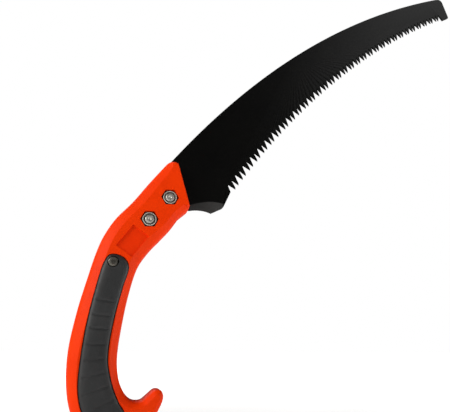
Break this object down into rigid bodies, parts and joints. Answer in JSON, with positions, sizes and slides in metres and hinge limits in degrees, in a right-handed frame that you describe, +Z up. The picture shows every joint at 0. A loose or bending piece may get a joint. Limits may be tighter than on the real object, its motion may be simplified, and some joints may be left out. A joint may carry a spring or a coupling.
{
  "type": "curved pruning saw",
  "caption": "Fixed-blade curved pruning saw with a bolted toothed blade, a moulded handle with a finger hook and two screwed grip panels.",
  "frame": {"origin": "the middle of the grip, where the hand closes round it, half way through its thickness", "axes": "+Z up the upright grip towards the blade, +X forward towards the nose of the blade, +Y across the thickness, from the nut side to the bolt-head side"},
  "size_m": [0.3443, 0.0228, 0.4208],
  "materials": {
    "frame_plastic": "moulded orange plastic, soft gloss",
    "blade_coating": "black low-friction coating, satin",
    "grip_rubber": "moulded black rubber, fine grain",
    "fastener_steel": "bright zinc-plated steel",
    "dark_steel": "blackened steel",
    "nylon": "grey nylon, lightly soiled",
    "insert_brass": "turned brass"
  },
  "bodies": {
    "saw": {"handle_frame": "frame_plastic", "blade": "blade_coating", "grip_panel_near": "grip_rubber", "grip_panel_far": "grip_rubber", "front_lock_nut": "fastener_steel", "rear_lock_nut": "fastener_steel", "front_nylon_ring": "nylon", "rear_nylon_ring": "nylon", "upper_grip_screw": "dark_steel", "lower_grip_screw": "dark_steel", "upper_screw_insert": "insert_brass", "lower_screw_insert": "insert_brass"},
    "front_washer": {"front_washer": "fastener_steel"},
    "front_bolt": {"front_bolt": "fastener_steel"},
    "rear_washer": {"rear_washer": "fastener_steel"},
    "rear_bolt": {"rear_bolt": "fastener_steel"}
  },
  "joints": [
    {"name": "front_bolt_travel", "type": "slide", "parent": "saw", "child": "front_washer", "axis": [0, 1, 0], "range_m": [0, 0.006]},
    {"name": "front_bolt_turn", "type": "hinge", "parent": "front_washer", "child": "front_bolt", "pos_m": [0.03794, 0, 0.08254], "axis": [0, 1, 0], "range_deg": [0, 2160]},
    {"name": "rear_bolt_travel", "type": "slide", "parent": "saw", "child": "rear_washer", "axis": [0, 1, 0], "range_m": [0, 0.006]},
    {"name": "rear_bolt_turn", "type": "hinge", "parent": "rear_washer", "child": "rear_bolt", "pos_m": [0.02543, 0, 0.06614], "axis": [0, 1, 0], "range_deg": [0, 2160]}
  ],
  "couplings": [
    {"joint": "front_bolt_turn", "follows": "front_bolt_travel", "rad_per_m": 6283.2},
    {"joint": "rear_bolt_turn", "follows": "rear_bolt_travel", "rad_per_m": 6283.2}
  ]
}
